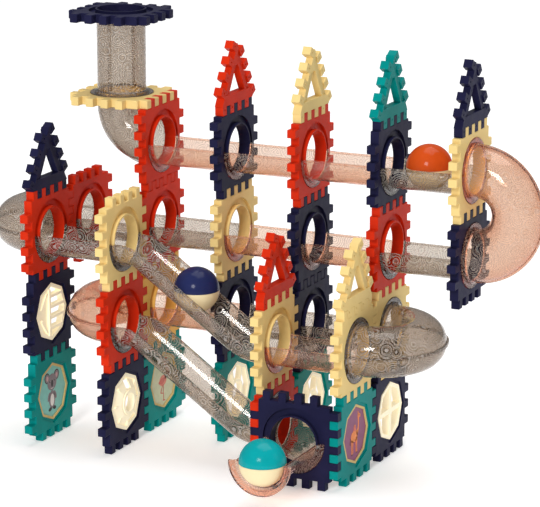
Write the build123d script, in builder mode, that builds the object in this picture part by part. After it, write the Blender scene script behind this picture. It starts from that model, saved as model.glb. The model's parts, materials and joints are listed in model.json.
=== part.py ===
"""Marble run made of interlocking square tiles, half-pipe tracks, closed bends, slides and three balls.

Units are millimetres, +Z is up. Tile planes stand on a lattice of one pitch: plane i is at
X = i pitches, the front row is at Y = -0.5 pitch and the back row at Y = +0.5 pitch.
"""

import math
import os
from build123d import *

os.makedirs("parts", exist_ok=True)

# ---------------------------------------------------------------- driving dimensions
PITCH = 76.0  # lattice pitch: one tile and one joint line
THICK = 8.0  # tile thickness, and how far a tooth reaches
FIT = 0.1  # play on every mating edge
TOOTH = 7.5  # tooth width, and the gap between two teeth
MARGIN = 4.0  # plain edge before the first tooth
TEETH = 4  # teeth on each edge
EDGE = 0.5  # chamfer on a tile's outline

TUBE_IN = 21.4  # tube inner radius
TUBE_OUT = 22.4  # tube outer radius
HOLE_R = 21.8  # hole through a collar tile
RIM_R = 23.3  # outer radius of the raised rim round the hole
RIM_UP = 1.5  # how far the rim stands above the tile's face
RECESS_R = 29.5  # round recess that takes a tube's flange
RECESS = 2.6  # depth of that recess
FLANGE_R = 28.9  # tube flange outer radius
FLANGE_IN = 23.6  # bore of the flange, over the rim
SOCKET_R = 25.0  # outer radius of the socket over the rim
SOCKET_END = 7.4  # distance from the tile's middle where the plain tube begins
SEAM_LIP = 1.6  # seam lip outside the tube wall
SEAM_HALF = 1.3  # half the thickness of the seam lip
SEAM_GAP = 0.2  # joint line between two shells

TURN_R = 0.5 * PITCH  # bend radius of a U-turn
ELBOW_R = 0.5 * PITCH - SOCKET_END  # bend radius of an elbow
SLIDE_BEND = 36.0  # bend radius of a slide
SLIDE_FLAT = 10.0  # where the slide's first bend starts
BALL_R = 20.5
BALL_WALL = 1.6
BALL_DROP = 0.6  # a ball's centre below the tube's axis
OUTLET_STOP = 1.88  # outlet ball's place, in pitches to the front

WINDOW_R = 27.5  # octagonal opening, to its corners
BORDER_R = 30.5  # step round that opening
BORDER = 1.2  # depth of the step
INSERT_R = 27.2
RING_R = 23.6  # inner corner radius of a window insert's ring
PICTURE_R = 25.0

WINDOW_IN = 8.7  # a spire's window, from the triangle's middle to its sides
CHANNEL = 1.4  # depth of the channels beside the window
CHANNEL_RIM = 2.0  # full height left beside a channel
DIMPLE_R = 0.9

BODY = PITCH - THICK - 2 * FIT  # tile body's side
HALF = BODY / 2
REACH = PITCH / 2 + THICK / 2 - FIT  # tooth tips, from the tile's middle

# ---------------------------------------------------------------- the row's origin
SHIFT_X = -2.5 * PITCH
SHIFT_Y = (OUTLET_STOP * PITCH + BALL_R - (PITCH / 2 + REACH)) / 2
SHIFT_Z = REACH - PITCH / 2


def at(i, j, k):
    """Point of the lattice, in pitches, in the row's frame."""
    return Vector(i * PITCH + SHIFT_X, j * PITCH + SHIFT_Y, k * PITCH + SHIFT_Z)


X_DIR = Vector(1, 0, 0)
Y_DIR = Vector(0, 1, 0)
Z_DIR = Vector(0, 0, 1)


def cell_plane(facing, centre):
    """Plane of a tile: facing is the side its drawing is seen from."""
    if facing == "+X":
        return Plane(origin=centre, x_dir=Y_DIR, z_dir=X_DIR)
    if facing == "-Y":
        return Plane(origin=centre, x_dir=X_DIR, z_dir=-Y_DIR)
    return Plane(origin=centre, x_dir=X_DIR, z_dir=Z_DIR)


def comb_points(phase):
    """Centres of the teeth on a bottom edge: phase 1 towards the right, -1 towards the left."""
    first = HALF + FIT - MARGIN - TOOTH / 2
    y = -(HALF + REACH) / 2
    return [(phase * (first - 2 * TOOTH * n), y) for n in range(TEETH)]


def tile_outline(phase):
    """Square body with a comb of teeth on every edge, turned a quarter each time."""
    Rectangle(BODY, BODY)
    with PolarLocations(0, 4):
        with Locations(*comb_points(phase)):
            Rectangle(TOOTH - 2 * FIT, REACH - HALF)


def outline_edges(part, normal):
    """Outline of the two flat faces of a plate."""
    faces = part.faces().filter_by(Axis((0, 0, 0), normal))
    faces = faces.sort_by(Axis((0, 0, 0), normal))
    return faces[0].outer_wire().edges() + faces[-1].outer_wire().edges()


def save(builder, name):
    builder.part.label = name
    export_step(builder.part, f"parts/{name}.step")


# ---------------------------------------------------------------- collar tiles
# name, facing, lattice cell centre, phase of the teeth
COLLARS = [
    ("tile_b1_l4", "+X", (1, 0.5, 3.5), -1),
    ("tile_b2_l4", "+X", (2, 0.5, 3.5), -1),
    ("tile_b3_l4", "+X", (3, 0.5, 3.5), -1),
    ("tile_b4_l4", "+X", (4, 0.5, 3.5), 1),
    ("tile_b5_l4", "+X", (5, 0.5, 3.5), -1),
    ("tile_b0_l3", "+X", (0, 0.5, 2.5), 1),
    ("tile_b1_l3", "+X", (1, 0.5, 2.5), -1),
    ("tile_b2_l3", "+X", (2, 0.5, 2.5), -1),
    ("tile_b3_l3", "+X", (3, 0.5, 2.5), -1),
    ("tile_b4_l3", "+X", (4, 0.5, 2.5), 1),
    ("tile_b5_l3", "+X", (5, 0.5, 2.5), -1),
    ("tile_b1_l2", "+X", (1, 0.5, 1.5), -1),
    ("tile_b2_l2", "+X", (2, 0.5, 1.5), -1),
    ("tile_b3_l2", "+X", (3, 0.5, 1.5), -1),
    ("tile_b4_l2", "+X", (4, 0.5, 1.5), 1),
    ("tile_f0_l3", "+X", (0, -0.5, 2.5), 1),
    ("tile_f1_l3", "+X", (1, -0.5, 2.5), -1),
    ("tile_f1_l2", "+X", (1, -0.5, 1.5), -1),
    ("tile_f3_l2", "+X", (3, -0.5, 1.5), -1),
    ("tile_f3_l1", "+X", (3, -0.5, 0.5), -1),
    ("tile_f4_l2", "+X", (4, -0.5, 1.5), 1),
    ("tile_box_front", "-Y", (3.5, -1, 0.5), 1),
    ("tile_tower_floor", "+Z", (0.5, 0.5, 4), -1),
    ("tile_inlet", "+Z", (0.5, 0.5, 5), -1),
]

# one master of each phase, drawn flat, is placed on every cell
COLLAR_MASTERS = {}
for phase in (1, -1):
    with BuildPart() as collar_master:
        with BuildSketch():
            tile_outline(phase)
        extrude(amount=THICK / 2, both=True)
        chamfer(outline_edges(collar_master.part, Z_DIR), EDGE)
        # round recess on both faces, with a raised rim round the hole
        for side in (1, -1):
            with BuildSketch(Plane.XY.offset(side * (THICK / 2 - RECESS))):
                Circle(RECESS_R)
            extrude(amount=side * (RECESS + 1), mode=Mode.SUBTRACT)
        with BuildSketch():
            Circle(RIM_R)
        extrude(amount=THICK / 2 + RIM_UP, both=True)
        with BuildSketch():
            Circle(HOLE_R)
        extrude(amount=THICK, both=True, mode=Mode.SUBTRACT)
    COLLAR_MASTERS[phase] = collar_master.part

for name, facing, cell, phase in COLLARS:
    with BuildPart() as collar:
        with Locations(cell_plane(facing, at(*cell)).location):
            add(COLLAR_MASTERS[phase])
    save(collar, name)

# ---------------------------------------------------------------- octagonal window and picture tiles
# node, cell centres, phases
OCTAGONS = [
    ("window_frames_navy", [(0, -0.5, 1.5), (1, -0.5, 0.5), (4, 0.5, 0.5)], [1, -1, 1]),
    ("window_frames_teal", [(2, 0.5, 0.5), (3, 0.5, 0.5)], [-1, -1]),
    ("picture_tile_f0", [(0, -0.5, 0.5)], [1]),
    ("picture_tile_b1", [(1, 0.5, 0.5)], [-1]),
    ("picture_tile_f4", [(4, -0.5, 0.5)], [1]),
]

OCTAGON_MASTERS = {}
for phase in (1, -1):
    with BuildPart() as octagon_master:
        with BuildSketch():
            tile_outline(phase)
        extrude(amount=THICK / 2, both=True)
        chamfer(outline_edges(octagon_master.part, Z_DIR), EDGE)
        for side in (1, -1):
            with BuildSketch(Plane.XY.offset(side * (THICK / 2 - BORDER))):
                RegularPolygon(BORDER_R, 8)
            extrude(amount=side * (BORDER + 1), mode=Mode.SUBTRACT)
        with BuildSketch():
            RegularPolygon(WINDOW_R, 8)
        extrude(amount=THICK, both=True, mode=Mode.SUBTRACT)
    OCTAGON_MASTERS[phase] = octagon_master.part

for name, cells, phases in OCTAGONS:
    with BuildPart() as octagon:
        for cell, phase in zip(cells, phases):
            with Locations(cell_plane("+X", at(*cell)).location):
                add(OCTAGON_MASTERS[phase])
    save(octagon, name)


def insert_ring():
    """Octagonal ring of a window insert."""
    RegularPolygon(INSERT_R, 8)
    RegularPolygon(RING_R, 8, mode=Mode.SUBTRACT)


# barred bay window: a solid left cheek, one upright and four rungs
plane = cell_plane("+X", at(0, -0.5, 1.5))
with BuildPart() as barred:
    with BuildSketch(plane):
        insert_ring()
    extrude(amount=3, both=True)
    with BuildSketch(plane.offset(-1)):
        RegularPolygon(RING_R + 1, 8)
        with Locations((22, 0)):
            Rectangle(56, 60, mode=Mode.SUBTRACT)
    extrude(amount=2.5)
    with BuildSketch(plane.offset(-1.5)):
        with Locations((-5, 0)):
            Rectangle(3, 2 * RING_R - 3.5)
        for height in (-15.0, -5.0, 5.0, 15.0):
            with Locations((9 - abs(height) / 6, height)):
                Rectangle(28 - abs(height) / 3, 2.6)
    extrude(amount=6)
    with BuildSketch(plane.offset(-1.5)):
        for sign in (1, -1):
            with Locations(Location((-13, sign * 12.0), sign * 52)):
                Rectangle(17, 2.2)
    extrude(amount=5)
save(barred, "window_barred")

# rose window: a faceted dish with a round eye and eight ribs
plane = cell_plane("+X", at(1, -0.5, 0.5))
with BuildPart() as rose:
    with BuildSketch(plane):
        insert_ring()
    extrude(amount=3, both=True)
    with BuildSketch(plane.offset(1.0)):
        RegularPolygon(RING_R + 1, 8)
    extrude(amount=5.0, taper=62)
    with BuildSketch(plane.offset(-0.6)):
        RegularPolygon(RING_R + 1, 8)
    extrude(amount=5.0, taper=62, mode=Mode.SUBTRACT)
    with BuildSketch(plane):
        Circle(11.5)
    extrude(amount=7.0)
    with BuildSketch(plane.offset(-1)):
        Circle(8.6)
    extrude(amount=12.0, mode=Mode.SUBTRACT)
    with BuildSketch(plane.offset(1.0)):
        with PolarLocations(16.5, 8):
            Rectangle(12.0, 1.8)
    extrude(amount=3.6)
    with BuildSketch(plane.offset(-3.5)):
        with PolarLocations(16.6, 1, start_angle=90):
            Rectangle(8.5, 8.0)
    extrude(amount=10.0, mode=Mode.SUBTRACT)
save(rose, "window_rose")

# cross window: one deep upright and one deep bar
plane = cell_plane("+X", at(4, 0.5, 0.5))
with BuildPart() as cross:
    with BuildSketch(plane):
        insert_ring()
        Rectangle(5.0, 2 * RING_R - 2)
        Rectangle(2 * RING_R - 2, 4.2)
    extrude(amount=3.5, both=True)
save(cross, "window_cross")

# gothic windows: two leaning bars that meet below, and one arch above
with BuildPart() as gothic:
    for cell in ((2, 0.5, 0.5), (3, 0.5, 0.5)):
        plane = cell_plane("+X", at(*cell))
        with BuildSketch(plane):
            insert_ring()
            for sign in (1, -1):
                with Locations(Location((sign * 5.6, 5.0), -sign * 17)):
                    Rectangle(2.4, 36.0)
            with Locations((0, -16.0)):
                Rectangle(2.8, 14.0)
            with Locations((0, -1.0)):
                Circle(11.5)
                Circle(9.3, mode=Mode.SUBTRACT)
        extrude(amount=2.6, both=True)
save(gothic, "windows_gothic")

# pictures: a thin octagonal border round a flat panel
PICTURES = [
    ("koala", (0, -0.5, 0.5)),
    ("flamingo", (1, 0.5, 0.5)),
    ("camel", (4, -0.5, 0.5)),
]
with BuildPart() as borders:
    for animal, cell in PICTURES:
        with BuildSketch(cell_plane("+X", at(*cell))):
            RegularPolygon(INSERT_R, 8)
            RegularPolygon(PICTURE_R, 8, mode=Mode.SUBTRACT)
        extrude(amount=2.6, both=True)
save(borders, "picture_borders")

for animal, cell in PICTURES:
    plane = cell_plane("+X", at(*cell))
    with BuildPart() as panel:
        with BuildSketch(plane):
            RegularPolygon(PICTURE_R - 0.15, 8)
        extrude(amount=1.6, both=True)
    save(panel, f"picture_panel_{animal}")

# ---------------------------------------------------------------- spires
SPIRES = [
    ("spires_red", [((2, 0.5, 4.5), -1), ((3, -0.5, 2.5), -1)]),
    ("spires_navy", [((0, -0.5, 3.5), 1), ((5, 0.5, 4.5), -1)]),
    ("spires_cream", [((3, 0.5, 4.5), -1), ((4, -0.5, 2.5), 1)]),
    ("spire_teal", [((4, 0.5, 4.5), 1)]),
]
ROOT_3 = math.sqrt(3)
TRIANGLE_IN = PITCH / 2 / ROOT_3  # lattice triangle, from its middle to its sides
SPIRE_DROP = PITCH / 2 - TRIANGLE_IN  # its middle lies this far below the cell's
SPIRE_IN = HALF - SPIRE_DROP  # the body's, from its middle to its sides
TIP_BLUNT = 1.5  # channel's width beside the tip


def side_point(distance, y):
    """Point at a height on the right side of a triangle of this inner radius."""
    return ((2 * distance - y) / ROOT_3, y)


def turned(points, x_sign):
    """The points moved to the spire's middle, mirrored for a negative sign."""
    return [(x_sign * x, y - SPIRE_DROP) for x, y in points]


CHANNEL_END = 2 * WINDOW_IN - 1  # just below the window's top
CHANNELS = [
    # on the right leg, from the rim beside the window to the teeth
    [
        side_point(WINDOW_IN + CHANNEL_RIM, -WINDOW_IN),
        side_point(SPIRE_IN, -WINDOW_IN),
        side_point(SPIRE_IN, 2 * SPIRE_IN - TIP_BLUNT * ROOT_3),
        side_point(WINDOW_IN + CHANNEL_RIM, 2 * WINDOW_IN + 2 * CHANNEL_RIM),
    ],
    # on the left leg, from the window to the rim beside the teeth
    [
        (-x, y)
        for x, y in (
            side_point(WINDOW_IN - 0.3, -WINDOW_IN),
            side_point(SPIRE_IN - CHANNEL_RIM, -WINDOW_IN),
            side_point(SPIRE_IN - CHANNEL_RIM, CHANNEL_END),
            side_point(WINDOW_IN - 0.3, CHANNEL_END),
        )
    ],
]

for name, places in SPIRES:
    with BuildPart() as spire:
        for cell, phase in places:
            plane = cell_plane("+X", at(*cell))
            teeth = [(x, y + SPIRE_DROP) for x, y in comb_points(phase)]
            with BuildSketch(plane):
                # the side's length of teeth is the square tile's, three times round
                with Locations((0, -SPIRE_DROP)):
                    RegularPolygon(2 * SPIRE_IN, 3, rotation=90)
                    with PolarLocations(0, 3):
                        with Locations(*teeth):
                            Rectangle(TOOTH - 2 * FIT, REACH - HALF)
                    RegularPolygon(2 * WINDOW_IN, 3, rotation=90, mode=Mode.SUBTRACT)
            extrude(amount=THICK / 2, both=True)
            for side in (1, -1):
                with BuildSketch(plane.offset(side * (THICK / 2 - CHANNEL))):
                    for channel in CHANNELS:
                        with BuildLine():
                            Polyline(*turned(channel, side), close=True)
                        make_face()
                    with Locations((0, -SPIRE_DROP)):
                        with PolarLocations(0, 3):
                            with Locations(*[(x, y + DIMPLE_R) for x, y in teeth]):
                                Circle(DIMPLE_R)
                extrude(amount=side * 2 * CHANNEL, mode=Mode.SUBTRACT)
    save(spire, name)

# ---------------------------------------------------------------- tubes and tracks


def tube_end(hole, away, start, arc, through=None):
    """Flange and socket round a tile's rim. away leaves the tile, start is the first radius."""
    plane = Plane(origin=hole, x_dir=away, z_dir=away.cross(start))
    floor = THICK / 2 - RECESS + FIT
    rim_end = THICK / 2 + RIM_UP + 0.2
    with BuildSketch(plane, mode=Mode.PRIVATE) as profile:
        with BuildLine():
            Polyline(
                (floor, FLANGE_IN),
                (floor, FLANGE_R),
                (THICK / 2 + 0.6, FLANGE_R),
                (THICK / 2 + 0.6, SOCKET_R),
                (SOCKET_END - 1.4, SOCKET_R),
                (SOCKET_END, TUBE_OUT),
                (SOCKET_END, TUBE_IN),
                (rim_end, TUBE_IN),
                (rim_end, FLANGE_IN),
                close=True,
            )
        make_face()
    turn = start.cross(through) if through else away
    revolve(profile.sketch, axis=Axis(hole, turn), revolution_arc=arc)


def half_section():
    """Lower half of the tube wall with a thicker top edge, drawn round the tube's axis."""
    Circle(TUBE_OUT)
    with Locations((TUBE_OUT - 0.4, -0.9), (-TUBE_OUT + 0.4, -0.9)):
        Rectangle(2.8, 1.8)
    Circle(TUBE_IN, mode=Mode.SUBTRACT)
    with Locations((0, 25)):
        Rectangle(60, 50, mode=Mode.SUBTRACT)


def full_section(lips=True):
    """Closed tube wall with a seam lip left and right."""
    Circle(TUBE_OUT)
    if lips:
        with Locations((TUBE_OUT + SEAM_LIP / 2 - 0.4, 0), (-TUBE_OUT - SEAM_LIP / 2 + 0.4, 0)):
            Rectangle(SEAM_LIP + 0.8, 2 * SEAM_HALF)
    Circle(TUBE_IN, mode=Mode.SUBTRACT)


def half_track(hole, away):
    """Half-pipe one pitch long, open at the top, from one tile to the next."""
    across = Z_DIR.cross(away)
    tube_end(hole, away, across, 180, -Z_DIR)
    tube_end(hole + away * PITCH, -away, across, 180, -Z_DIR)
    section = Plane(origin=hole + away * SOCKET_END, x_dir=across, z_dir=away)
    with BuildSketch(section, mode=Mode.PRIVATE) as trough:
        half_section()
    extrude(trough.sketch, amount=PITCH - 2 * SOCKET_END)


ORANGE_RUNS = [
    (1, 0.5, 3.5),
    (2, 0.5, 3.5),
    (3, 0.5, 3.5),
    (2, 0.5, 2.5),
    (3, 0.5, 2.5),
    (1, 0.5, 1.5),
    (3, -0.5, 1.5),
]
SMOKE_RUNS = [
    (4, 0.5, 3.5),
    (0, 0.5, 2.5),
    (1, 0.5, 2.5),
    (4, 0.5, 2.5),
    (2, 0.5, 1.5),
    (3, 0.5, 1.5),
    (0, -0.5, 2.5),
]
for name, runs in (("straight_tracks_orange", ORANGE_RUNS), ("straight_tracks_smoke", SMOKE_RUNS)):
    with BuildPart() as tracks:
        for run in runs:
            half_track(at(*run), X_DIR)
    save(tracks, name)

with BuildPart() as outlet:
    half_track(at(3.5, -1, 0.5), -Y_DIR)
save(outlet, "outlet_track")

with BuildPart() as tower:
    low = at(0.5, 0.5, 4)
    high = at(0.5, 0.5, 5)
    tube_end(low, Z_DIR, X_DIR, 360)
    tube_end(high, -Z_DIR, X_DIR, 360)
    with BuildSketch(Plane(origin=low + Z_DIR * SOCKET_END, x_dir=Y_DIR, z_dir=Z_DIR)):
        full_section()
    extrude(amount=PITCH - 2 * SOCKET_END)
save(tower, "tower_tube")


def bend(start, away, centre, degrees):
    """Closed tube turned round a centre, starting at start and leaving along away."""
    inward = (centre - start).normalized()
    section = Plane(origin=start, x_dir=inward, z_dir=away)
    with BuildSketch(section, mode=Mode.PRIVATE) as pipe:
        full_section()
    revolve(pipe.sketch, axis=Axis(centre, inward.cross(away) * -1), revolution_arc=degrees)


def elbow(hole_a, away_a, hole_b, away_b):
    """Closed quarter bend between two tiles at a right angle."""
    tube_end(hole_a, away_a, away_a.cross(away_b), 360)
    tube_end(hole_b, away_b, away_a.cross(away_b), 360)
    start = hole_a + away_a * SOCKET_END
    bend(start, away_a, start - away_b * ELBOW_R, 90)


# The elbow's first end leaves its tile along away_a and turns towards the second tile.
with BuildPart() as top_elbow:
    elbow(at(0.5, 0.5, 4), -Z_DIR, at(1, 0.5, 3.5), -X_DIR)
save(top_elbow, "top_elbow")

with BuildPart() as box_elbow:
    elbow(at(3, -0.5, 0.5), X_DIR, at(3.5, -1, 0.5), Y_DIR)
save(box_elbow, "box_elbow")

# node, first hole, second hole, direction away from the tiles
U_TURNS = [
    ("turn_top_right", (5, 0.5, 3.5), (5, 0.5, 2.5), X_DIR),
    ("turn_top_left", (0, 0.5, 2.5), (0, -0.5, 2.5), -X_DIR),
    ("turn_low_left", (1, 0.5, 1.5), (1, -0.5, 1.5), -X_DIR),
    ("turn_low_right", (4, 0.5, 1.5), (4, -0.5, 1.5), X_DIR),
]
for name, first, second, away in U_TURNS:
    hole_a = at(*first)
    hole_b = at(*second)
    middle = (hole_a + hole_b) * 0.5 + away * SOCKET_END
    seam = away.cross((hole_b - hole_a).normalized())
    with BuildPart() as turn:
        tube_end(hole_a, away, seam, 360)
        tube_end(hole_b, away, seam, 360)
        bend(hole_a + away * SOCKET_END, away, middle, 180)
        # joint line between the two shells
        with BuildSketch(Plane(origin=middle, x_dir=away, z_dir=seam)):
            Rectangle(4 * PITCH, 4 * PITCH)
        extrude(amount=SEAM_GAP / 2, both=True, mode=Mode.SUBTRACT)
    save(turn, name)

# ---------------------------------------------------------------- slides
RUN = 2 * PITCH - 2 * SLIDE_FLAT
SPAN = math.hypot(RUN, 2 * SLIDE_BEND - PITCH)
SLOPE = math.asin(2 * SLIDE_BEND / SPAN) - math.atan2(2 * SLIDE_BEND - PITCH, RUN)
SLOPE_LENGTH = (RUN - 2 * SLIDE_BEND * math.sin(SLOPE)) / math.cos(SLOPE)

for name, top in (("slide_upper", (1, -0.5, 2.5)), ("slide_lower", (1, -0.5, 1.5))):
    high = at(*top)
    low = high + X_DIR * 2 * PITCH - Z_DIR * PITCH
    with BuildPart() as slide:
        with BuildLine(Plane(origin=high, x_dir=X_DIR, z_dir=-Y_DIR)):
            entry = Line((SOCKET_END, 0), (SLIDE_FLAT, 0))
            crest = JernArc(entry @ 1, entry % 1, SLIDE_BEND, -math.degrees(SLOPE))
            ramp = PolarLine(crest @ 1, SLOPE_LENGTH, direction=crest % 1)
            dip = JernArc(ramp @ 1, ramp % 1, SLIDE_BEND, math.degrees(SLOPE))
            Line(dip @ 1, (2 * PITCH - SOCKET_END, -PITCH))
        with BuildSketch(Plane(origin=high + X_DIR * SOCKET_END, x_dir=Y_DIR, z_dir=X_DIR)):
            half_section()
        sweep()
        tube_end(high, X_DIR, Y_DIR, 180, -Z_DIR)
        tube_end(low, -X_DIR, Y_DIR, 180, -Z_DIR)
    save(slide, name)

# ---------------------------------------------------------------- balls
SLOPE_DOWN = Vector(-math.sin(SLOPE), 0, -math.cos(SLOPE))
BALLS = [
    ("orange", at(4.5, 0.5, 3.5) - Z_DIR * BALL_DROP),
    ("navy", at(2, -0.5, 2) + SLOPE_DOWN * BALL_DROP),
    ("teal", at(3.5, -OUTLET_STOP, 0.5) - Z_DIR * BALL_DROP),
]
for colour, centre in BALLS:
    for half, side in (("cap", 1), ("base", -1)):
        with BuildPart() as shell:
            with Locations(centre):
                Sphere(BALL_R)
                Sphere(BALL_R - BALL_WALL, mode=Mode.SUBTRACT)
            with Locations(centre + Z_DIR * side * (SEAM_GAP / 2 - BALL_R)):
                Box(4 * BALL_R, 4 * BALL_R, 2 * BALL_R, mode=Mode.SUBTRACT)
        save(shell, f"ball_{colour}_{half}")
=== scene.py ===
import json
import math

import bmesh
import bpy
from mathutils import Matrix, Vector


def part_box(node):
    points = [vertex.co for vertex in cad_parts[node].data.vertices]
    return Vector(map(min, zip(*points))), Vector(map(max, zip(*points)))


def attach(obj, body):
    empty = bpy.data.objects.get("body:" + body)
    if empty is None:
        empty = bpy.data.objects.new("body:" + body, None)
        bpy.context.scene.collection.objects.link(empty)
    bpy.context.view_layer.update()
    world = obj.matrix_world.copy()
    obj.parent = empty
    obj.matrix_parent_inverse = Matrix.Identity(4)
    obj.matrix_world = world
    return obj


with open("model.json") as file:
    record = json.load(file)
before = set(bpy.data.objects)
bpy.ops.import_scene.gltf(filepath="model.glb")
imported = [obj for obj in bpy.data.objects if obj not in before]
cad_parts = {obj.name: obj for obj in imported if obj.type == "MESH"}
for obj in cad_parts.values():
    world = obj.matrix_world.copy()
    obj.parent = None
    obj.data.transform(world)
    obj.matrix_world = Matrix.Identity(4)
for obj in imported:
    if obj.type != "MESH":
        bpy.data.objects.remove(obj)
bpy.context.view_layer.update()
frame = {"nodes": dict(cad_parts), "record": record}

MM = 0.001
WHITE = (1, 1, 1)
SCENE = bpy.context.scene
SCENE.view_settings.view_transform = "Standard"

# ------------------------------------------------------------------ node helpers


def fresh(name):
    """An empty node material and its tree."""
    material = bpy.data.materials.new(name)
    material.use_nodes = True
    tree = material.node_tree
    tree.nodes.clear()
    return material, tree


def put(node, **values):
    """Sets inputs whose names have blanks, written with underscores."""
    for key, value in values.items():
        node.inputs[key.replace("_", " ")].default_value = value


def object_space(tree):
    return tree.nodes.new("ShaderNodeTexCoord").outputs["Object"]


def principled(tree):
    """A Principled shader joined to the material's output."""
    shader = tree.nodes.new("ShaderNodeBsdfPrincipled")
    out = tree.nodes.new("ShaderNodeOutputMaterial")
    tree.links.new(shader.outputs[0], out.inputs["Surface"])
    return shader


def noise(tree, coords, scale, detail=3.0, roughness=0.55):
    """Noise with scale in features per metre."""
    node = tree.nodes.new("ShaderNodeTexNoise")
    put(node, Scale=scale, Detail=detail, Roughness=roughness)
    tree.links.new(coords, node.inputs["Vector"])
    return node.outputs["Fac"]


def spread(tree, value, low, high, start=0.3, end=0.7):
    """Maps a value's middle part, where noise mostly lies, to a range."""
    node = tree.nodes.new("ShaderNodeMapRange")
    put(node, From_Min=start, From_Max=end, To_Min=low, To_Max=high)
    tree.links.new(value, node.inputs["Value"])
    return node.outputs["Result"]


def bump(tree, height, strength, distance, below=None):
    """A relief of a height in metres, on top of another relief if one is given."""
    node = tree.nodes.new("ShaderNodeBump")
    put(node, Strength=strength, Distance=distance)
    tree.links.new(height, node.inputs["Height"])
    if below is not None:
        tree.links.new(below, node.inputs["Normal"])
    return node.outputs["Normal"]


def two_tone(tree, value, dark, light):
    """Colour between two tones by a value."""
    tones = {"A": dark, "B": light}
    node = tree.nodes.new("ShaderNodeMix")
    node.data_type = "RGBA"
    # the Mix node has sockets of the same names for numbers and for colours
    for socket in node.inputs:
        if socket.name in tones and socket.type == "RGBA":
            socket.default_value = (*tones[socket.name], 1)
    tree.links.new(value, node.inputs["Factor"])
    return next(s for s in node.outputs if s.type == "RGBA")


def shade(colour, factor):
    """A colour made lighter or darker, no brighter than white."""
    return tuple(min(1.0, c * factor) for c in colour)


# features per metre
DRIFT_SCALE = 38
SCUFF_SCALE = 160
GRAIN_SCALE = 1500
FLOW_SCALE = 90
# relief heights in metres
GRAIN_DEPTH = 0.00008
FLOW_DEPTH = 0.0006


def plastic(name, colour, rough=0.34, vary=0.10, grain=1.0, coat=0.0, painted_glow=0.0):
    """Moulded plastic: slow colour drift, mould grain, flow marks and faint handling scuffs, with a painted
    glow if one is given.
    """
    material, tree = fresh(name)
    coords = object_space(tree)
    shader = principled(tree)
    drift = spread(tree, noise(tree, coords, DRIFT_SCALE, 4), 0, 1)
    tone = two_tone(tree, drift, shade(colour, 1 - vary), shade(colour, 1 + vary))
    tree.links.new(tone, shader.inputs["Base Color"])
    scuff = spread(tree, noise(tree, coords, SCUFF_SCALE, 6, 0.7), rough - 0.06, rough + 0.10)
    tree.links.new(scuff, shader.inputs["Roughness"])
    normal = bump(tree, noise(tree, coords, FLOW_SCALE, 2), 0.10 * grain, FLOW_DEPTH)
    normal = bump(tree, noise(tree, coords, GRAIN_SCALE, 2), 0.16 * grain, GRAIN_DEPTH, normal)
    tree.links.new(normal, shader.inputs["Normal"])
    put(shader, IOR=1.5, Specular_IOR_Level=0.04, Coat_Weight=coat, Coat_Roughness=0.06)
    if painted_glow:
        # painted light: the plastic glows in its own colour, a painted brightness that stands in for light
        # coming through the thin plastic from behind
        put(shader, Emission_Color=(*colour, 1), Emission_Strength=painted_glow)
    return material


RING_BEND_SCALE = 55  # features per metre
RING_BEND = 0.004  # most that a ring's centre moves sideways, in metres
RING_CENTRES = 78  # per metre
RING_TURNS = 44  # radians of the wave for each cell's width
RING_DEPTH = 0.00005  # metres


def rings(tree, coords):
    """A wave of the distance from scattered centres, bent a little by noise."""
    bend = tree.nodes.new("ShaderNodeTexNoise")
    put(bend, Scale=RING_BEND_SCALE, Detail=1)
    tree.links.new(coords, bend.inputs["Vector"])
    push = tree.nodes.new("ShaderNodeVectorMath")
    push.operation = "MULTIPLY_ADD"
    tree.links.new(bend.outputs["Color"], push.inputs[0])
    push.inputs[1].default_value = (RING_BEND, RING_BEND, RING_BEND)
    tree.links.new(coords, push.inputs[2])
    cells = tree.nodes.new("ShaderNodeTexVoronoi")
    put(cells, Scale=RING_CENTRES)
    tree.links.new(push.outputs[0], cells.inputs["Vector"])
    turns = tree.nodes.new("ShaderNodeMath")
    turns.operation = "MULTIPLY"
    turns.inputs[1].default_value = RING_TURNS
    tree.links.new(cells.outputs["Distance"], turns.inputs[0])
    wave = tree.nodes.new("ShaderNodeMath")
    wave.operation = "SINE"
    tree.links.new(turns.outputs[0], wave.inputs[0])
    return wave.outputs[0]


def clear_plastic(name, wall, tint, density, line):
    """Clear tinted plastic with a fine moulded relief of rings.

    wall colours both faces, and tint and density the plastic between them. line is how much of the
    light still goes through where a ring is highest.
    """
    material, tree = fresh(name)
    coords = object_space(tree)
    shader = tree.nodes.new("ShaderNodeBsdfPrincipled")
    put(shader, IOR=1.12, Coat_Weight=0.5, Coat_IOR=1.5, Coat_Roughness=0.05)
    cloud = noise(tree, coords, 120, 3)
    tree.links.new(two_tone(tree, cloud, shade(wall, 0.94), wall), shader.inputs["Base Color"])
    tree.links.new(spread(tree, cloud, 0.01, 0.04), shader.inputs["Roughness"])
    wave = rings(tree, coords)
    # the raised lines scatter a little light
    tree.links.new(spread(tree, wave, 1.0, line, 0.1, 1.0), shader.inputs["Transmission Weight"])
    tree.links.new(bump(tree, wave, 0.25, RING_DEPTH), shader.inputs["Normal"])
    # rays from lamps pass straight through, so that what is behind is lit
    through = tree.nodes.new("ShaderNodeBsdfTransparent")
    put(through, Color=(*wall, 1))
    path = tree.nodes.new("ShaderNodeLightPath")
    mix = tree.nodes.new("ShaderNodeMixShader")
    tree.links.new(path.outputs["Is Shadow Ray"], mix.inputs[0])
    tree.links.new(shader.outputs[0], mix.inputs[1])
    tree.links.new(through.outputs[0], mix.inputs[2])
    fog = tree.nodes.new("ShaderNodeVolumeAbsorption")
    put(fog, Color=(*tint, 1), Density=density)
    out = tree.nodes.new("ShaderNodeOutputMaterial")
    tree.links.new(mix.outputs[0], out.inputs["Surface"])
    tree.links.new(fog.outputs[0], out.inputs["Volume"])
    return material


TOOTH_SCALE = 2600  # features per metre
TOOTH_DEPTH = 0.00006  # metres


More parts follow.
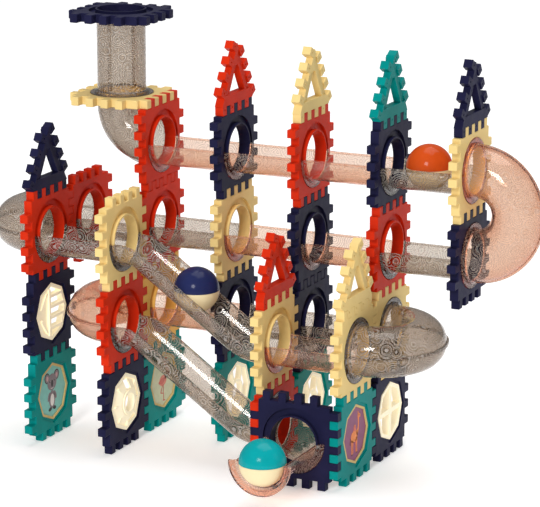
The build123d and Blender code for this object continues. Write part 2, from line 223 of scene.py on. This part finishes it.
def ink(name, colour):
    """Printed colour on card: almost flat, with a slight drift and the card's tooth."""
    material, tree = fresh(name)
    coords = object_space(tree)
    shader = principled(tree)
    drift = spread(tree, noise(tree, coords, 260, 3), 0, 1)
    tone = two_tone(tree, drift, shade(colour, 0.93), shade(colour, 1.07))
    tree.links.new(tone, shader.inputs["Base Color"])
    tooth = noise(tree, coords, TOOTH_SCALE, 2)
    tree.links.new(bump(tree, tooth, 0.12, TOOTH_DEPTH), shader.inputs["Normal"])
    tree.links.new(spread(tree, tooth, 0.42, 0.56), shader.inputs["Roughness"])
    return material


RED = (0.64, 0.028, 0.006)
NAVY = (0.014, 0.014, 0.046)
CREAM = (0.86, 0.64, 0.26)
YELLOW = (0.86, 0.50, 0.12)
TEAL = (0.001, 0.25, 0.235)
IVORY = (0.97, 0.87, 0.64)
GOLD = (0.72, 0.53, 0.22)
MINT = (0.23, 0.60, 0.55)
SAND = (0.62, 0.62, 0.40)
VIOLET = (0.25, 0.045, 0.14)
BALL_ORANGE = (0.60, 0.075, 0.010)
BALL_NAVY = (0.016, 0.022, 0.085)
BALL_TEAL = (0.002, 0.32, 0.34)
BALL_CREAM = (0.86, 0.72, 0.44)
SMOKE_WALL, SMOKE_TINT = (0.77, 0.73, 0.68), (0.50, 0.37, 0.24)
ORANGE_WALL, ORANGE_TINT = (0.84, 0.81, 0.76), (0.95, 0.38, 0.05)
POLISHED = {"grain": 0.4, "coat": 0.14}

LOOKS = {
    "tile_red": plastic("red_plastic", RED),
    "tile_navy": plastic("navy_plastic", NAVY, rough=0.36, vary=0.16),
    "tile_cream": plastic("cream_plastic", CREAM, rough=0.38, vary=0.04),
    "tile_yellow": plastic("yellow_plastic", YELLOW, rough=0.38, vary=0.05),
    "tile_teal": plastic("teal_plastic", TEAL),
    # the window plastic carries painted light: a glow in its own colour that brightens it
    "window_cream": plastic("window_plastic", IVORY, rough=0.30, vary=0.05, coat=0.1, painted_glow=0.26),
    "border_gold": plastic("border_plastic", GOLD, rough=0.30, vary=0.07),
    "panel_mint": ink("mint_card", MINT),
    "panel_sand": ink("sand_card", SAND),
    "panel_violet": ink("violet_card", VIOLET),
    "tube_smoke": clear_plastic("smoke_clear", SMOKE_WALL, SMOKE_TINT, density=420, line=0.62),
    "tube_orange": clear_plastic("orange_clear", ORANGE_WALL, ORANGE_TINT, density=330, line=0.76),
    "ball_orange": plastic("ball_orange_plastic", BALL_ORANGE, rough=0.2, **POLISHED),
    "ball_navy": plastic("ball_navy_plastic", BALL_NAVY, rough=0.2, **POLISHED),
    "ball_teal": plastic("ball_teal_plastic", BALL_TEAL, rough=0.2, **POLISHED),
    "ball_base": plastic("ball_base_plastic", BALL_CREAM, rough=0.22, vary=0.04, **POLISHED),
}

for entry in frame["record"]["subparts"]:
    node = frame["nodes"][entry["node"]]
    for place in node.material_slots:
        place.material = LOOKS[entry["material_slot"]]

# ------------------------------------------------------------------ mesh helpers


def piece(name, bm, material, body, smooth=False):
    """Makes a named object of a bmesh and lets it ride on a body."""
    mesh = bpy.data.meshes.new(name)
    bm.normal_update()
    bm.to_mesh(mesh)
    bm.free()
    if smooth:
        mesh.shade_smooth()
    obj = bpy.data.objects.new(name, mesh)
    SCENE.collection.objects.link(obj)
    mesh.materials.append(material)
    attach(obj, body)


def box_corners(node):
    return (Vector(corner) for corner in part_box(node))


def oval(u, v, ru, rv, turn=0.0, count=40):
    """Points of an ellipse round (u, v), in millimetres, turned by an angle in degrees."""
    a = math.radians(turn)
    points = []
    for n in range(count):
        t = 2 * math.pi * n / count
        x, y = ru * math.cos(t), rv * math.sin(t)
        points.append((u + x * math.cos(a) - y * math.sin(a), v + x * math.sin(a) + y * math.cos(a)))
    return points


def soft(points, steps=6):
    """Closed smooth outline through a few points, as a Catmull-Rom curve."""
    out = []
    total = len(points)
    for n in range(total):
        p0, p1, p2, p3 = (Vector(points[(n + k - 1) % total]) for k in range(4))
        for s in range(steps):
            t = s / steps
            out.append(tuple(0.5 * (
                2 * p1 + (p2 - p0) * t + (2 * p0 - 5 * p1 + 4 * p2 - p3) * t * t
                + (3 * p1 - p0 - 3 * p2 + p3) * t * t * t)))
    return out


EDGE_HEIGHT, EDGE_INSET = 0.08, 0.10  # the softened edge of a raised shape, in millimetres


def stamp(bm, outline, origin, side, low, high):
    """Adds a raised shape with a softened edge to a panel that faces +X or -X."""
    centre = Vector((sum(p[0] for p in outline), sum(p[1] for p in outline))) / len(outline)
    loops = []
    for depth, inset in ((low, 0.0), (high - EDGE_HEIGHT, 0.0), (high, EDGE_INSET)):
        loop = []
        for u, v in outline:
            away = Vector((u, v)) - centre
            # points near the centre are drawn in less, so that they don't cross it
            p = centre + away * (1 - inset / max(away.length, 0.5))
            loop.append(bm.verts.new(origin + Vector((side * depth, side * p.x, p.y)) * MM))
        loops.append(loop)
    count = len(outline)
    for a, b in zip(loops, loops[1:]):
        for n in range(count):
            bm.faces.new((a[n], a[(n + 1) % count], b[(n + 1) % count], b[n]))
    bm.faces.new(loops[-1])
    bm.faces.new(list(reversed(loops[0])))


# ------------------------------------------------------------------ animals on the picture panels
# Each shape is (ink, layer, outline), in millimetres from the panel's middle before picture() enlarges it.
INKS = {
    "grey": ink("ink_grey", (0.24, 0.19, 0.22)),
    "pale": ink("ink_pale", (0.86, 0.82, 0.80)),
    "dark": ink("ink_dark", (0.012, 0.010, 0.014)),
    "rose": ink("ink_rose", (0.62, 0.36, 0.38)),
    "salmon": ink("ink_salmon", (0.80, 0.23, 0.15)),
    "coral": ink("ink_coral", (0.62, 0.11, 0.07)),
    "amber": ink("ink_amber", (0.84, 0.22, 0.02)),
    "brown": ink("ink_brown", (0.16, 0.03, 0.012)),
}

KOALA = [
    ("grey", 0, oval(0, -6.2, 4.3, 6.6)),
    ("grey", 0, oval(-4.4, -3.6, 1.5, 3.4, -24)),
    ("grey", 0, oval(4.4, -3.6, 1.5, 3.4, 24)),
    ("pale", 1, oval(0, -6.6, 2.7, 4.5)),
    ("dark", 1, oval(-3.0, -12.9, 2.3, 1.3, 12)),
    ("dark", 1, oval(3.0, -12.9, 2.3, 1.3, -12)),
    ("dark", 0, oval(-6.6, 10.6, 3.6, 3.9, 20)),
    ("dark", 0, oval(6.6, 10.6, 3.6, 3.9, -20)),
    ("grey", 1, oval(-6.5, 10.5, 2.9, 3.2, 20)),
    ("grey", 1, oval(6.5, 10.5, 2.9, 3.2, -20)),
    ("rose", 2, oval(-6.4, 10.3, 1.5, 1.9, 20)),
    ("rose", 2, oval(6.4, 10.3, 1.5, 1.9, -20)),
    ("grey", 2, soft([
        (0, 12.6), (4.6, 11.0), (6.3, 7.0), (4.9, 2.6), (0, 0.4), (-4.9, 2.6), (-6.3, 7.0), (-4.6, 11.0)])),
    ("dark", 3, oval(0, 5.6, 1.5, 2.7)),
    ("dark", 3, oval(-3.2, 7.6, 0.75, 0.9)),
    ("dark", 3, oval(3.2, 7.6, 0.75, 0.9)),
    ("pale", 4, oval(-2.95, 7.9, 0.24, 0.28)),
    ("pale", 4, oval(3.45, 7.9, 0.24, 0.28)),
    ("pale", 3, soft([(-2.4, 2.5), (0, 1.7), (2.4, 2.5), (0, 2.2)])),
]

FLAMINGO = [
    ("salmon", 0, soft([
        (-6.6, -0.4), (-3.4, 3.2), (2.0, 3.4), (5.2, 0.6), (4.2, -3.2), (0, -5.0), (-4.6, -3.8)])),
    ("coral", 1, soft([(-7.8, -1.2), (-3.0, 1.4), (2.4, 0.9), (1.0, -2.2), (-3.4, -3.4)])),
    ("salmon", 0, soft([
        (3.0, -0.6), (5.6, 1.0), (6.6, 4.6), (5.2, 8.2), (3.0, 10.8), (2.6, 13.2), (4.0, 14.8), (5.6, 14.4),
        (6.2, 15.4), (4.2, 16.8), (1.6, 15.8), (0.6, 12.8), (1.4, 9.6), (3.6, 6.6), (4.2, 4.2), (2.6, 2.4)])),
    ("salmon", 1, oval(4.3, 14.9, 2.1, 1.8)),
    ("pale", 1, soft([(5.8, 15.6), (8.0, 14.8), (8.4, 13.0), (6.8, 13.6), (5.8, 14.2)])),
    ("dark", 2, soft([(8.1, 14.6), (8.9, 12.6), (7.9, 11.4), (7.6, 13.0)])),
    ("dark", 2, oval(4.7, 15.4, 0.42, 0.5)),
    ("coral", 0, soft([
        (-0.2, -4.4), (0.5, -4.4), (0.4, -10.0), (0.7, -16.2), (0.0, -16.2), (-0.3, -10.0)])),
    ("coral", 0, soft([(-0.2, -16.0), (2.6, -16.9), (2.4, -17.5), (-0.6, -17.1)])),
    ("coral", 0, soft([
        (-1.6, -4.2), (-0.9, -4.4), (-3.6, -9.4), (-0.4, -10.6), (-0.5, -11.2), (-4.6, -9.8)])),
]

CAMEL = [
    ("amber", 0, soft([
        (-7.0, -2.4), (-5.6, 1.2), (-3.0, 2.4), (-1.2, 6.2), (1.0, 6.6), (2.6, 2.6), (4.6, 0.8), (5.4, -2.4),
        (3.6, -5.4), (-1.0, -6.2), (-5.4, -5.4)])),
    ("amber", 0, soft([
        (3.2, 0.6), (5.4, 3.2), (5.8, 7.4), (5.2, 11.2), (5.8, 13.8), (8.2, 13.6), (10.2, 12.2), (10.0, 10.6),
        (7.8, 10.4), (7.6, 6.0), (6.8, 0.4), (4.6, -2.8)])),
    ("amber", 0, soft([(5.6, 13.4), (5.2, 15.4), (6.0, 15.8), (7.0, 13.8)])),
    ("amber", 0, soft([
        (-6.0, -3.8), (-4.0, -4.8), (-4.2, -10.4), (-3.9, -15.0), (-5.3, -15.0), (-5.7, -10.4)])),
    ("amber", 0, soft([(2.6, -4.4), (4.8, -3.6), (4.5, -10.4), (4.9, -15.0), (3.5, -15.0), (3.2, -10.4)])),
    ("coral", 0, soft([
        (-3.4, -5.2), (-1.8, -5.8), (-2.2, -10.2), (-2.0, -14.2), (-3.2, -14.2), (-3.5, -10.2)])),
    ("coral", 0, soft([(0.8, -5.6), (2.4, -5.2), (2.2, -10.2), (2.5, -14.2), (1.3, -14.2), (1.0, -10.2)])),
    ("brown", 1, oval(-4.6, -15.2, 1.1, 0.7)),
    ("brown", 1, oval(4.2, -15.2, 1.1, 0.7)),
    ("brown", 1, soft([(-7.0, -1.8), (-8.4, -4.6), (-8.0, -7.2), (-7.4, -4.4)])),
    ("coral", 1, soft([(-2.6, 3.0), (-1.0, 5.6), (0.8, 5.8), (1.8, 3.0), (0.2, 1.8)])),
    ("dark", 2, oval(7.6, 12.4, 0.45, 0.55)),
    ("brown", 2, oval(9.7, 11.5, 0.35, 0.3)),
]


INK_BURIED = 0.05  # how far the ink goes into the card, in millimetres
INK_HEIGHT, LAYER_STEP = 0.16, 0.07  # how far it stands up, and how much more for each layer


def picture(name, node, shapes, size):
    """The animal in raised ink on both faces of a panel, one piece for each ink."""
    low, high = box_corners(node)
    middle = (low + high) / 2
    half = (high.x - low.x) / 2 / MM
    for tone in sorted({shape[0] for shape in shapes}):
        bm = bmesh.new()
        for colour, layer, outline in shapes:
            if colour != tone:
                continue
            outline = [(u * size, v * size) for u, v in outline]
            top = half + INK_HEIGHT + LAYER_STEP * layer
            for side in (1, -1):
                stamp(bm, outline, middle, side, half - INK_BURIED, top)
        bmesh.ops.recalc_face_normals(bm, faces=bm.faces)
        piece(f"{name}_{tone}", bm, INKS[tone], "structure")


picture("koala", "picture_panel_koala", KOALA, 1.3)
picture("flamingo", "picture_panel_flamingo", FLAMINGO, 1.2)
picture("camel", "picture_panel_camel", CAMEL, 1.2)

# ------------------------------------------------------------------ ball seams
# A thin lip inside each ball closes the gap between its halves: (radius, height) in millimetres.
LIP_PROFILE = [
    (18.2, -1.4), (18.78, -0.30), (18.83, 0.0), (18.78, 0.30), (18.2, 1.4), (17.2, 1.4), (17.2, -1.4)]
LIP_SIDES = 96
HALF_GAP = 0.1  # millimetres from the lower half's rim to the seam's middle


def seam(colour):
    low, high = box_corners(f"ball_{colour}_base")
    centre = Vector(((low.x + high.x) / 2, (low.y + high.y) / 2, high.z + HALF_GAP * MM))
    bm = bmesh.new()
    sections = []
    for n in range(LIP_SIDES):
        t = 2 * math.pi * n / LIP_SIDES
        points = (Vector((r * math.cos(t), r * math.sin(t), z)) for r, z in LIP_PROFILE)
        sections.append([bm.verts.new(centre + point * MM) for point in points])
    for n in range(LIP_SIDES):
        a, b = sections[n], sections[(n + 1) % LIP_SIDES]
        for k in range(len(LIP_PROFILE)):
            j = (k + 1) % len(LIP_PROFILE)
            bm.faces.new((a[k], b[k], b[j], a[j]))
    bmesh.ops.recalc_face_normals(bm, faces=bm.faces)
    piece(f"ball_{colour}_lip", bm, LOOKS["ball_base"], f"ball_{colour}", smooth=True)


for colour in ("orange", "navy", "teal"):
    seam(colour)

# ------------------------------------------------------------------ floor, light and camera
FLOOR_HALF = 14  # metres
FLOOR_DROP = 0.0003  # metres below the tiles' feet

floor_material, floor_tree = fresh("studio_floor")
floor_shader = principled(floor_tree)
put(floor_shader, Base_Color=(0.86, 0.86, 0.865, 1), Roughness=0.6, Specular_IOR_Level=0.1)
put(floor_shader, Emission_Color=(*WHITE, 1), Emission_Strength=0.34)
bm = bmesh.new()
bmesh.ops.create_grid(bm, x_segments=8, y_segments=8, size=FLOOR_HALF)
floor_mesh = bpy.data.meshes.new("floor")
bm.to_mesh(floor_mesh)
bm.free()
floor = bpy.data.objects.new("floor", floor_mesh)
floor.location.z = -FLOOR_DROP
SCENE.collection.objects.link(floor)
floor_mesh.materials.append(floor_material)

world = bpy.data.worlds.new("studio")
world.use_nodes = True
put(world.node_tree.nodes["Background"], Color=(*WHITE, 1), Strength=0.30)
SCENE.world = world


def aim(obj, place, target):
    """Puts a lamp or a camera at a place and turns it to a target."""
    obj.location = place
    obj.rotation_euler = (Vector(target) - Vector(place)).to_track_quat("-Z", "Y").to_euler()
    SCENE.collection.objects.link(obj)


def lamp(name, place, target, size, power):
    """A rectangular lamp: size in metres, power in watts."""
    data = bpy.data.lights.new(name, "AREA")
    data.shape = "RECTANGLE"
    data.size, data.size_y = size
    data.energy = power
    aim(bpy.data.objects.new(name, data), place, target)


lamp("key", (0.63, -5.2, 3.0), (0, 0, 0.15), (1.6, 1.6), 185)
lamp("top", (0.2, 1.2, 5.0), (0, 0.6, 0.0), (4.0, 4.0), 170)
lamp("rim", (2.4, 0.6, 1.3), (0, 0, 0.2), (1.0, 1.4), 3)

# The camera looks at a point from the front and a little to the right.
TARGET = Vector((0.0158, 0.0418, 0.1854))
AZIMUTH = math.radians(25.2)
ELEVATION = math.radians(14.0)
DISTANCE = 2.431  # metres
away = Vector((
    math.sin(AZIMUTH) * math.cos(ELEVATION), -math.cos(AZIMUTH) * math.cos(ELEVATION), math.sin(ELEVATION)))
camera_data = bpy.data.cameras.new("camera")
camera_data.lens = 182.0
camera_data.sensor_width = 36
camera_data.clip_end = 60
camera = bpy.data.objects.new("camera", camera_data)
aim(camera, TARGET + away * DISTANCE, TARGET)
SCENE.camera = camera
